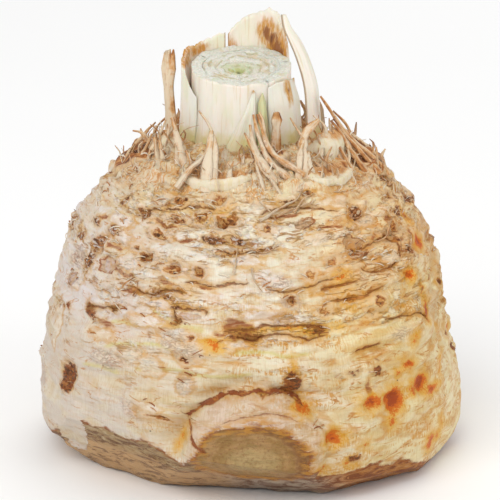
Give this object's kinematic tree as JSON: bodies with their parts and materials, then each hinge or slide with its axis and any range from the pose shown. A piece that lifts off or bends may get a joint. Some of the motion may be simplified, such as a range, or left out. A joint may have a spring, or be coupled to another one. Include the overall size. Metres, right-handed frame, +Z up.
{
  "type": "celeriac",
  "caption": "Knobbly round celeriac root, ringed and scarred, flat-trimmed at the foot, with cut leaf stalk stubs on its crown.",
  "frame": {"origin": "on the floor under the middle of the whole object, where the trimmed foot rests", "axes": "+Z up through the crown, -Y to the front where the cut side root shows, +X to the object's right as seen from the front"},
  "size_m": [0.1218, 0.1252, 0.1235],
  "materials": {
    "root": "rough ringed skin with root scars, rust spots and pale flesh where the foot was trimmed",
    "heart_stalks": "moist pale green cut flesh in rings",
    "sheath_front_left": "smooth off-white stalk flesh, fibrous where torn",
    "sheath_right": "smooth off-white stalk flesh, fibrous where torn",
    "sheath_back": "smooth off-white stalk flesh, fibrous where torn",
    "outer_sheath_right": "smooth off-white stalk flesh, fibrous where torn",
    "front_tongue": "smooth off-white stalk flesh, fibrous where torn",
    "side_bud": "smooth greenish bud",
    "stalk_back": "smooth off-white stalk flesh, fibrous where torn",
    "stalk_back_left": "smooth off-white stalk flesh, fibrous where torn",
    "stalk_right": "smooth pale stalk, browned along one edge",
    "dry_stalk_left": "dry fibrous straw-coloured stalk",
    "dry_bud_front": "dry wrinkled brown bud",
    "leaf_base_front_left": "dry torn fibrous leaf base",
    "leaf_base_front": "dry torn fibrous leaf base",
    "leaf_base_front_right": "dry torn fibrous leaf base",
    "leaf_base_right": "dry torn fibrous leaf base",
    "husk_right": "dry torn fibrous leaf base",
    "leaf_base_left": "dry torn fibrous leaf base",
    "husk_left": "dry torn fibrous leaf base",
    "leaf_base_back_right": "dry torn fibrous leaf base",
    "leaf_base_back": "dry torn fibrous leaf base",
    "leaf_base_back_left": "dry torn fibrous leaf base"
  },
  "bodies": {
    "root": {"root": "root", "heart_stalks": "heart_stalks", "sheath_front_left": "sheath_front_left", "sheath_right": "sheath_right", "sheath_back": "sheath_back", "outer_sheath_right": "outer_sheath_right", "front_tongue": "front_tongue", "side_bud": "side_bud", "stalk_back": "stalk_back", "stalk_back_left": "stalk_back_left", "stalk_right": "stalk_right", "dry_stalk_left": "dry_stalk_left", "dry_bud_front": "dry_bud_front", "leaf_base_front_left": "leaf_base_front_left", "leaf_base_front": "leaf_base_front", "leaf_base_front_right": "leaf_base_front_right", "leaf_base_right": "leaf_base_right", "husk_right": "husk_right", "leaf_base_left": "leaf_base_left", "husk_left": "husk_left", "leaf_base_back_right": "leaf_base_back_right", "leaf_base_back": "leaf_base_back", "leaf_base_back_left": "leaf_base_back_left"}
  },
  "joints": []
}
